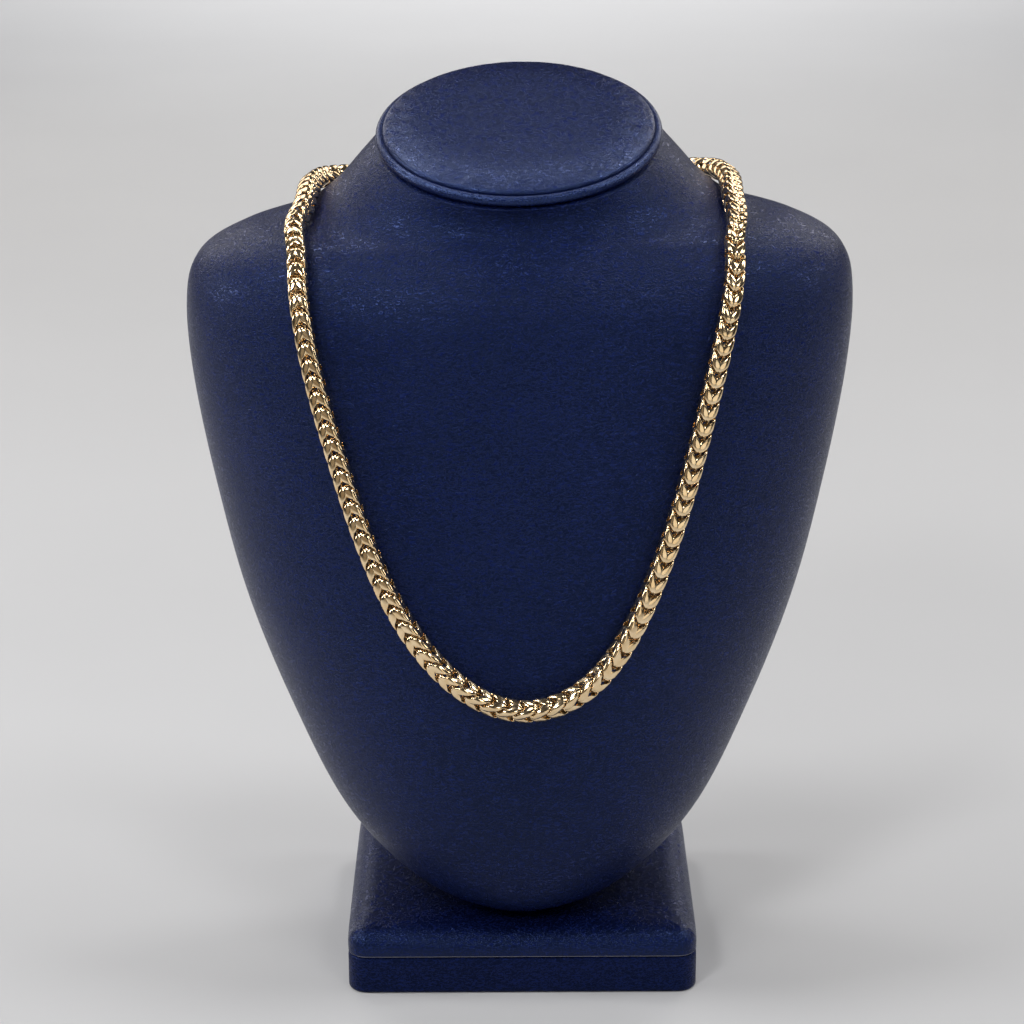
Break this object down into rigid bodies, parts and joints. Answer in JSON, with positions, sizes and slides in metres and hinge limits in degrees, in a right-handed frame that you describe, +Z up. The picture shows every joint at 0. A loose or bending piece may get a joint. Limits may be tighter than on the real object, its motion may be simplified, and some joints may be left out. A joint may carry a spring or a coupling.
{
  "type": "franco chain necklace on a neck bust",
  "caption": "Thick square franco link chain closed in a loop round the neck of a small padded neck bust that stands on a rectangular base.",
  "frame": {"origin": "middle of the base's underside", "axes": "+X to the viewer's right, +Y to the back, +Z up"},
  "size_m": [0.2032, 0.1299, 0.2716],
  "materials": {
    "gold": "polished yellow gold",
    "bust_leather": "fine-grained matt leatherette",
    "cap_leather": "fine-grained matt leatherette",
    "piping_leather": "smooth satin leatherette",
    "pad_leather": "fine-grained matt leatherette",
    "slab_leather": "fine-grained matt leatherette"
  },
  "bodies": {
    "root": {"chain_left": "gold", "chain_right": "gold", "clasp": "gold", "bust_form": "bust_leather", "neck_cap": "cap_leather", "cap_piping": "piping_leather", "base_pad": "pad_leather", "base_slab": "slab_leather"}
  },
  "joints": []
}
